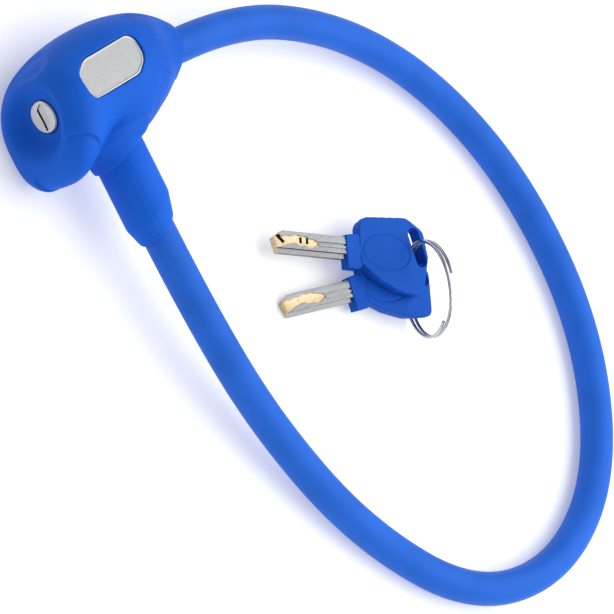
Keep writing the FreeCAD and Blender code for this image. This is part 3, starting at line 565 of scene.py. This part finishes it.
class CABLELOCK_OT_finishes(bpy.types.Operator):
    """Mixes every finish of the lock: rubber, polymer and the bare and plated metals"""
    bl_idname = "cablelock.finishes"
    bl_label = "Finishes"

    def execute(self, context):
        colors = context.scene.cablelock_finishes
        blue = Vector(colors.jacket)
        steel = list(colors.steel)
        even = (1.0, 1.0, 1.0)
        along = (1.0, 0.05, 1.0)
        soft_rubber("moulded_jacket", list(blue), 0.52, 0.12)
        soft_rubber("moulded_sleeve", list(blue * 1.05), 0.50, 0.12)
        soft_rubber("coated_cable", list(colors.cable), 0.46, 0.08)
        soft_rubber("moulded_grip", list(blue * 0.80), 0.50, 0.10)
        # Near-black polymer of the socket's bush; on the key's dimple and notch floors the same
        # finish is painted shade
        soft_rubber("dark_polymer_and_painted_shade", (0.012, 0.012, 0.013), 0.6, 0.1)
        brushed_metal("satin_badge", (0.57, 0.58, 0.59), 0.45, even, grain=0.5)
        brushed_metal("nickel_plug", (0.62, 0.62, 0.62), 0.36, even, grain=0.6)
        brushed_metal("cast_zinc", (0.42, 0.42, 0.44), 0.55, even)
        brushed_metal("hardened_steel", steel, 0.25, along)
        # Deep streaks on the blade: partly scratches in the plating, partly painted reflection of
        # dark surroundings
        brushed_metal("plated_blade", (0.28, 0.285, 0.295), 0.34, (0.10, 1.4, 1.4),
                      grain=0.3, depth=0.62)
        brushed_metal("milled_track", list(colors.milled), 0.40, (1.3, 1.3, 1.3),
                      grain=1.0, depth=0.55)
        brushed_metal("turned_brass", (0.75, 0.56, 0.28), 0.35, even)
        brushed_metal("spring_wire", (0.50, 0.50, 0.51), 0.20, (0.2, 0.2, 0.2), grain=0.1)
        return {"FINISHED"}


# The head

def between(values, x):
    """A smooth curve through (place, value) pairs, at x."""
    last = len(values) - 1
    k = max(i for i in range(last) if i == 0 or values[i][0] <= x)
    slopes = []
    for i in (k, k + 1):
        low, high = values[max(i - 1, 0)], values[min(i + 1, last)]
        slopes.append((high[1] - low[1]) / (high[0] - low[0]))
    span = values[k + 1][0] - values[k][0]
    t = (x - values[k][0]) / span
    return ((2 * t ** 3 - 3 * t ** 2 + 1) * values[k][1]
            + (t ** 3 - 2 * t ** 2 + t) * span * slopes[0]
            + (3 * t ** 2 - 2 * t ** 3) * values[k + 1][1]
            + (t ** 3 - t ** 2) * span * slopes[1])


def drawn_in(radius, depth):
    """How far a rounded end has drawn in at a depth below it."""
    rest = max(radius - depth, 0.0)
    return radius - math.sqrt(radius ** 2 - rest ** 2)


def jacket_ring(x, sizes, inset=0.0, sides=160):
    """The jacket's outline at x, between an ellipse and a rectangle."""
    width, rise, fall, shift, lean = (
        between([(s[0], s[i]) for s in STATIONS], x) for i in (1, 2, 3, 4, 5))
    drawn = (drawn_in(sizes.front_round, x - STATIONS[0][0])
             + drawn_in(sizes.exit_round, STATIONS[-1][0] - x)) + inset
    ring = []
    for k in range(sides):
        angle = 2 * math.pi * k / sides
        u, v = math.cos(angle), math.sin(angle)
        height = (rise if v > 0 else fall) - drawn
        power = 2 / (sizes.roof_squareness if v > 0 else sizes.base_squareness)
        y = shift + (width - drawn) * math.copysign(abs(u) ** power, u)
        z = AXIS + height * math.copysign(abs(v) ** power, v)
        ring.append(Vector((x + lean * y + inset, y, z)))
    return ring


def jacket_blank(sizes, inset=0.0):
    """The jacket without its cuts."""
    front, back = STATIONS[0][0], STATIONS[-1][0]
    early = [front + sizes.front_round * (1 - math.cos(math.pi / 2 * k / 14)) for k in range(15)]
    late = [early[-1] + (back - sizes.exit_round - early[-1]) * k / 40 for k in range(1, 41)]
    end = [back - sizes.exit_round * t for t in (0.5, 0.15, 0.0)]
    return loft("jacket", [jacket_ring(x, sizes, inset) for x in early + late + end])


def finger_recess(sizes, centre, facing, run, half_width, depth, drift):
    """What a finger recess takes off the jacket: a round-ended slab outside an inner skin."""
    facing = Vector(facing).normalized()
    run = (Vector(run) - facing * facing.dot(Vector(run))).normalized()
    place = Matrix((facing.cross(run), run, facing)).transposed().to_4x4()
    place.translation = Vector(centre)
    turns = [math.pi * k / 32 for k in range(33)]
    outline = [(half_width * math.cos(t), -half_width * math.sin(t)) for t in turns]
    outline += [(-half_width, SLAB_RUN), (half_width, SLAB_RUN)]
    slab = prism("recess", outline, 0.0, SLAB_HEIGHT, place)
    floor = jacket_blank(sizes, depth)
    floor.data.transform(Matrix.Translation(drift))
    return combine(slab, "DIFFERENCE", floor)


def hood_blank(sizes):
    """The flared hood round the bolt, cut on a slant at its lip."""
    hood = lathe("hood", HOOD_FLARE, (HOOD_CENTRE, 0, AXIS), (0, -1, 0), 120)
    for vertex in hood.data.vertices:
        lip = -sizes.hood_end + sizes.hood_slant * vertex.co.x
        vertex.co.y = max(vertex.co.y, lip)
    return hood


def dish(piece, sizes):
    """Presses the dish round the keyhole into the jacket's front."""
    for vertex in piece.data.vertices:
        point = vertex.co
        away = math.hypot(point.y, point.z - AXIS)
        if point.x > sizes.dish_floor or away > sizes.dish_radius:
            continue
        share = (sizes.dish_radius - away) / (sizes.dish_radius - sizes.dish_floor_radius)
        share = min(share, 1.0)
        share = share ** 3 * (share * (6 * share - 15) + 10)
        point.x += (sizes.dish_floor - point.x) * share


def badge_outline(grow):
    """The badge's outline: a long plate with slanting, bowed ends and round corners."""
    corners = BADGE_HALF + [(-x, -y) for x, y in BADGE_HALF]
    outline = rounded_outline(corners, BADGE_ROUNDS * 2, 12)
    centre = Vector((0.0, 0.0))
    return [centre + p * (1 + grow / p.length) for p in outline]


class CABLELOCK_OT_head_cover(bpy.types.Operator):
    """Models the soft jacket of the head with its hood, dish, scoops and badge seat"""
    bl_idname = "cablelock.head_cover"
    bl_label = "Head Cover"

    def execute(self, context):
        sizes = context.scene.cablelock_head
        cover = jacket_blank(sizes)
        combine(cover, "DIFFERENCE", *[finger_recess(sizes, *recess) for recess in RECESSES])
        combine(cover, "UNION", hood_blank(sizes))
        floor_cut = prism("floor_cut", rectangle(-0.06, 0.06, -0.06, 0.06), -0.02, 0.0)
        badge_seat = prism(
            "badge_seat", badge_outline(BADGE_GAP), -BADGE_THICK, 0.02, BADGE_PLACE)
        socket = lathe("socket", BOLT_SOCKET, (0, 0, AXIS), (0, -1, 0))
        combine(cover, "DIFFERENCE", floor_cut, badge_seat, socket)
        moulded(cover, sizes.voxel, passes=3)
        dish(cover, sizes)
        combine(cover, "DIFFERENCE", lathe("barrel", PLUG_HOLE, (0, 0, AXIS), (1, 0, 0)))
        cover.name = "head_jacket"
        paint(cover, finish_of("moulded_jacket"))
        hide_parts("head_cover")
        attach(cover, "head")
        return {"FINISHED"}


class CABLELOCK_OT_badge(bpy.types.Operator):
    """Models the bare metal badge let into the jacket"""
    bl_idname = "cablelock.badge"
    bl_label = "Badge"

    def execute(self, context):
        rings = [[BADGE_PLACE @ Vector((p.x, p.y, z)) for p in badge_outline(grow)]
                 for z, grow in BADGE_RIM]
        plate = loft("badge", rings, sharp_caps=True)
        plate.name = "badge_face"
        paint(plate, finish_of("satin_badge"))
        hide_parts("badge_plate")
        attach(plate, "head")
        return {"FINISHED"}


# The bolt's sleeve

class CABLELOCK_OT_bolt_sleeve(bpy.types.Operator):
    """Models the moulded sleeve over the bolt's ferrule"""
    bl_idname = "cablelock.bolt_sleeve"
    bl_label = "Bolt Sleeve"

    def execute(self, context):
        sizes = context.scene.cablelock_sleeve
        slant = context.scene.cablelock_head.hood_slant
        wide, narrow, bevel = sizes.radius, sizes.end_radius, SLEEVE_BEVEL
        profile = [
            (SLEEVE_MOUTH, BOLT_BORE),
            (SLEEVE_MOUTH, wide - 3 * bevel),
            (SLEEVE_MOUTH + bevel, wide - bevel),
            (SLEEVE_MOUTH + 3 * bevel, wide),
            (SLEEVE_LEAN_START, wide),
            (SLEEVE_LEAN_END, wide),
            (SLEEVE_TAPER, wide - bevel / 4),
            (SLEEVE_TAPER + 3.5 * bevel, wide - bevel),
            (SLEEVE_END - 4 * bevel, narrow + bevel),
            (SLEEVE_END - 1.5 * bevel, narrow),
            (SLEEVE_END, narrow - bevel),
            (SLEEVE_END, CABLE_BORE),
            (SLEEVE_TAPER, CABLE_BORE),
            (SLEEVE_TAPER, FERRULE_BORE),
            (FERRULE_START, FERRULE_BORE),
            (FERRULE_START, BOLT_BORE),
        ]
        sleeve = lathe("sleeve", profile, (0, 0, AXIS), (0, -1, 0), 144, wrap=True)
        for vertex in sleeve.data.vertices:
            point = vertex.co
            along = (-point.y - SLEEVE_LEAN_START) / (SLEEVE_LEAN_END - SLEEVE_LEAN_START)
            lean = min(max(along, 0.0), 1.0)
            away = math.hypot(point.x, point.z - AXIS)
            angle = math.degrees(math.atan2(point.z - AXIS, point.x))
            if away > PARTING_RADIUS and -point.y > PARTING_START:
                for line in PARTING_LINES:
                    gap = (angle - line) / PARTING_WIDTH
                    raise_by = sizes.ridge * math.exp(-gap * gap)
                    point.x += raise_by * point.x / away
                    point.z += raise_by * (point.z - AXIS) / away
            point.y += slant * point.x * lean
        paint(sleeve, finish_of("moulded_sleeve"))
        sleeve.name = "sleeve_moulding"
        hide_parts("bolt_sleeve")
        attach(sleeve, "bolt")
        return {"FINISHED"}


# The cable

def route_line(points):
    """Points read from the route's smooth spline."""
    curve = bpy.data.curves.new("route", "CURVE")
    curve.dimensions = "3D"
    curve.resolution_u = 24
    spline = curve.splines.new("NURBS")
    spline.points.add(len(points) - 1)
    for point, place in zip(spline.points, points):
        point.co = (*place, 1.0)
    spline.order_u = 3
    spline.use_endpoint_u = True
    holder = bpy.data.objects.new("route", curve)
    bpy.context.scene.collection.objects.link(holder)
    depsgraph = bpy.context.evaluated_depsgraph_get()
    mesh = bpy.data.meshes.new_from_object(holder.evaluated_get(depsgraph))
    line = [v.co.copy() for v in mesh.vertices]
    bpy.data.objects.remove(holder)
    bpy.data.meshes.remove(mesh)
    return line


def rings_along(line, radius, sides):
    """Circles along a line, which don't twist."""
    across = Vector((0, 0, 1))
    rings = []
    for k, point in enumerate(line):
        ahead = (line[min(k + 1, len(line) - 1)] - line[max(k - 1, 0)]).normalized()
        across = (across - ahead * across.dot(ahead)).normalized()
        rings.append(circle(point, across, ahead.cross(across), radius, sides))
    return rings


class CABLELOCK_OT_cable(bpy.types.Operator):
    """Models the coated cable in two halves: the head's half stays in place and the other is drawn
    out with the bolt
    """
    bl_idname = "cablelock.cable"
    bl_label = "Cable"

    def execute(self, context):
        sizes = context.scene.cablelock_cable
        line = route_line(ROUTE)
        far = min(range(len(line)), key=lambda k: line[k].y)
        rings = rings_along(line, sizes.diameter / 2, sizes.sides)
        halves = [("cable_head_half", slice(0, far + 1)), ("cable_bolt_half", slice(far, None))]
        exits = [line[0], line[far]]
        for (name, run), leaves in zip(halves, exits):
            skin = loft(name, rings[run], sharp_caps=True)
            paint(skin, finish_of("coated_cable"))
        head_half, bolt_half = (bpy.data.objects[name] for name, run in halves)
        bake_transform(head_half)
        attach(bolt_half, "bolt")
        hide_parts("cable_jacket", "cable_rope")
        return {"FINISHED"}


# Keys

def key_places(sizes):
    """Where the lower key lies, and the upper one flat on it."""
    lower = (Matrix.Translation(LOWER_KEY_PLACE)
             @ Matrix.Rotation(math.radians(LOWER_KEY_TURN), 4, "Z")
             @ Matrix.Rotation(math.radians(LOWER_KEY_TILT), 4, "Y"))
    step = (Matrix.Translation((*UPPER_KEY_SHIFT, sizes.bow_thick + sizes.gap))
            @ Matrix.Rotation(math.radians(UPPER_KEY_TURN), 4, "Z"))
    return lower @ step, lower


def grip_outline(inset):
    """The grip seen from above, drawn in evenly by an inset."""
    outline = rounded_outline([p[:2] for p in GRIP_CORNERS], [p[2] for p in GRIP_CORNERS])
    centre = Vector(GRIP_MIDDLE)
    return [p + (centre - p).normalized() * inset for p in outline]


def grip(name, sizes, place):
    """The moulded grip: a shield in two halves with a collar, an oval line and a slot."""
    t = sizes.bow_thick
    body = prism(name, grip_outline(0.0), -GRIP_OVERLAP, t / 2)
    lower = prism("lower_half", grip_outline(GRIP_STEP), -t / 2, 0.0)
    collar = prism("collar", COLLAR_CORNERS, -t / 2 + COLLAR_STEP, t / 2 - COLLAR_STEP)
    combine(body, "UNION", lower, collar)
    slot_place = (Matrix.Translation(SLOT_MIDDLE)
                  @ Matrix.Rotation(math.radians(SLOT_LEAN), 4, "Z"))
    slot_corners = rectangle(
        -SLOT_HALF_WIDTH, SLOT_HALF_WIDTH, -SLOT_HALF_LENGTH, SLOT_HALF_LENGTH)
    slot_outline = rounded_outline(slot_corners, [SLOT_ROUND] * 4)
    combine(body, "DIFFERENCE", prism("slot", slot_outline, -0.01, 0.01, slot_place))
    moulded(body, GRIP_DETAIL, passes=4)
    for vertex in body.data.vertices:
        point = vertex.co
        reach = math.hypot((point.x - OVAL_MIDDLE[0]) / OVAL_RADII[0],
                           (point.y - OVAL_MIDDLE[1]) / OVAL_RADII[1])
        gap = (reach - 1.0) * OVAL_MEAN_RADIUS / OVAL_LINE_WIDTH
        side = math.copysign(1.0, point.z)
        if abs(point.z) > t / 2 - OVAL_FACE_DEPTH:
            point.z -= side * OVAL_LINE_DEPTH * math.exp(-gap * gap)
    body.data.transform(place)
    return body


def blade(name, sizes, place, dimples):
    """The milled blade: a stepped bar with a pointed tip, a wavy track and two grooves."""
    length, w, t = sizes.blade_length, sizes.blade_width / 2, sizes.blade_thick
    outline = [(BLADE_ROOT, -w), (BLADE_ROOT, w), (0.0030 - length, w), (-length, w / 3),
               (0.0014 - length, -w)]
    bar = prism(name, outline, -t / 2, t / 2)
    track = [(-length * along, w * across) for along, across in TRACK_UPPER + TRACK_LOWER]
    step = t / 2 - STEP_HEIGHT
    beside = w + STEP_OVERHANG
    inner = w - STEP_WIDTH
    cuts = [
        prism("track", track, t / 2 - TRACK_DEPTH, t),
        prism("step", rectangle(-BLADE_CUT_REACH, 0.0, -beside, -inner), step, t),
        prism("undercut", rectangle(-BLADE_CUT_REACH, 0.0, inner, beside), -t, -step),
    ]
    for low, high, depth in GROOVES:
        groove = rectangle(-length * GROOVE_SHARE, 0.0, low, high)
        cuts.append(prism("groove", groove, t / 2 - depth, t))
    if dimples:
        floor = t / 2 - DIMPLE_DEPTH
        for share in DIMPLE_SHARES:
            middle = -length * share
            dimple = rectangle(middle - DIMPLE_HALF, middle + DIMPLE_HALF, 0.0, DIMPLE_END)
            cuts.append(prism("dimple", dimple, floor, t))
        tip = (Matrix.Translation((NOTCH_FROM_TIP - length, NOTCH_ACROSS, 0))
               @ Matrix.Rotation(NOTCH_TURN, 4, "Z"))
        corners = rectangle(
            -NOTCH_HALF_WIDTH, NOTCH_HALF_WIDTH, -NOTCH_HALF_LENGTH, NOTCH_HALF_LENGTH)
        cuts.append(prism("notch", rounded_outline(corners, [0.0005] * 4, 4), floor, t, tip))
    combine(bar, "DIFFERENCE", *cuts)
    bevel = bar.modifiers.new("edges", "BEVEL")
    bevel.width = BLADE_BEVEL
    bevel.segments = 2
    bevel.limit_method = "ANGLE"
    settled(bar)
    paint(bar, finish_of("plated_blade"), finish_of("milled_track"), finish_of("dark_polymer_and_painted_shade"))
    for polygon in bar.data.polygons:
        centre = polygon.center
        below = t / 2 - centre.z
        over_track = centre.x < -length * 0.39 and -w * 0.66 < centre.y < w * 0.78
        # Floors of the dimples and the notch take the near-black finish: painted shade in the
        # hollows
        over_dimples = centre.x < -length * 0.5 and centre.y > -0.001
        at_tip = centre.x < 0.0016 - length and centre.z > step - 0.0003
        if at_tip or over_track and 0.00006 < below < 0.00056:
            polygon.material_index = 1
        elif over_dimples and 0.0006 < below < 0.00112:
            polygon.material_index = 2
    bar.data.transform(place)
    return bar


class CABLELOCK_OT_keys(bpy.types.Operator):
    """Models both keys: moulded grips and milled blades"""
    bl_idname = "cablelock.keys"
    bl_label = "Keys"

    def execute(self, context):
        sizes = context.scene.cablelock_keys
        for number, place in enumerate(key_places(sizes), start=1):
            body = "key_%d" % number
            handle = grip("key_%d_grip" % number, sizes, place)
            paint(handle, finish_of("moulded_grip"))
            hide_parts("key_%d_bow" % number)
            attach(handle, body)
            bit = blade("key_%d_bit" % number, sizes, place, number == 1)
            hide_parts("key_%d_blade" % number)
            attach(bit, body)
        return {"FINISHED"}


# Pieces that keep the shape they have in the frame

KEPT_NODES = {
    "lock_core": "cast_zinc", "latch_cap": "cast_zinc", "cylinder_housing": "turned_brass",
    "tumbler_pins": "turned_brass", "key_plug": "nickel_plug", "keyway_shutter": "satin_badge",
    "plug_clip": "hardened_steel", "latch": "hardened_steel", "latch_spring": "spring_wire",
    "socket_bush": "dark_polymer_and_painted_shade", "lock_bolt": "hardened_steel", "bolt_ferrule": "hardened_steel",
    "anchor_ferrule": "hardened_steel", "anchor_pin": "hardened_steel", "split_ring": "spring_wire",
}


class CABLELOCK_OT_metalwork(bpy.types.Operator):
    """Gives the turned, cast and wound metal pieces their finishes"""
    bl_idname = "cablelock.metalwork"
    bl_label = "Metalwork"

    def execute(self, context):
        for node, finish in KEPT_NODES.items():
            paint(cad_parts[node], finish_of(finish))
        return {"FINISHED"}


# The stage

class CABLELOCK_OT_stage(bpy.types.Operator):
    """Adds the pale floor, the soft lights and the camera at the photograph's angle"""
    bl_idname = "cablelock.stage"
    bl_label = "Stage"

    def execute(self, context):
        scene = context.scene
        settings = scene.cablelock_stage
        floor_outline = rectangle(-FLOOR_HALF, FLOOR_HALF, -FLOOR_HALF, FLOOR_HALF)
        floor = prism("floor", floor_outline, FLOOR_UNDERSIDE, FLOOR_TOP)
        white, _, shader = new_material("floor_white", (0.86, 0.86, 0.86), 0.9)
        shader.inputs["Emission Color"].default_value = (1.0, 1.0, 1.0, 1.0)
        shader.inputs["Emission Strength"].default_value = settings.floor_glow
        paint(floor, white)
        camera = bpy.data.objects.new("camera", bpy.data.cameras.new("camera"))
        turn = Matrix(CAMERA_AXES).transposed().to_4x4()
        camera.matrix_world = Matrix.Translation(settings.camera_place) @ turn
        camera.data.sensor_width = 36.0
        camera.data.lens = settings.lens
        camera.data.clip_start = 0.05
        camera.data.clip_end = 20.0
        scene.collection.objects.link(camera)
        scene.camera = camera
        lights = [
            ("main_light", (0.80, -0.40, 1.25), 2.0, settings.key_power),
            ("fill_light", (-0.40, -0.90, 0.90), 1.0, settings.fill_power),
        ]
        for name, place, size, power in lights:
            lamp = bpy.data.lights.new(name, "AREA")
            lamp.size = size
            lamp.energy = power
            holder = bpy.data.objects.new(name, lamp)
            holder.location = place
            aim = LIGHTS_FACE - Vector(place)
            holder.rotation_euler = aim.to_track_quat("-Z", "Y").to_euler()
            scene.collection.objects.link(holder)
        world = bpy.data.worlds.new("surroundings")
        world.use_nodes = True
        sky = world.node_tree.nodes["Background"]
        sky.inputs["Color"].default_value = (1.0, 1.0, 1.0, 1.0)
        sky.inputs["Strength"].default_value = settings.sky
        scene.world = world
        scene.view_settings.view_transform = "Standard"
        return {"FINISHED"}


class CABLELOCK_PT_panel(bpy.types.Panel):
    """Lists the lock's pieces in the sidebar"""
    bl_idname = "CABLELOCK_PT_panel"
    bl_label = "Cable Lock"
    bl_space_type = "VIEW_3D"
    bl_region_type = "UI"
    bl_category = "Cable Lock"

    def draw(self, context):
        for operator in OPERATORS:
            self.layout.operator(operator.bl_idname)


GROUPS = {
    "cablelock_head": HeadSizes,
    "cablelock_sleeve": SleeveSizes,
    "cablelock_cable": CableSizes,
    "cablelock_keys": KeySizes,
    "cablelock_finishes": Finishes,
    "cablelock_stage": StageSettings,
}
OPERATORS = [
    CABLELOCK_OT_finishes,
    CABLELOCK_OT_stage,
    CABLELOCK_OT_cable,
    CABLELOCK_OT_head_cover,
    CABLELOCK_OT_badge,
    CABLELOCK_OT_bolt_sleeve,
    CABLELOCK_OT_keys,
    CABLELOCK_OT_metalwork,
]


def register():
    for cls in [*GROUPS.values(), *OPERATORS, CABLELOCK_PT_panel]:
        bpy.utils.register_class(cls)
    for name, group in GROUPS.items():
        setattr(bpy.types.Scene, name, PointerProperty(type=group))


def unregister():
    for name in GROUPS:
        delattr(bpy.types.Scene, name)
    for cls in [CABLELOCK_PT_panel, *reversed(OPERATORS), *GROUPS.values()]:
        bpy.utils.unregister_class(cls)


def main():
    register()
    for operator in OPERATORS:
        group, name = operator.bl_idname.split(".")
        getattr(getattr(bpy.ops, group), name)()


if __name__ == "__main__":
    main()
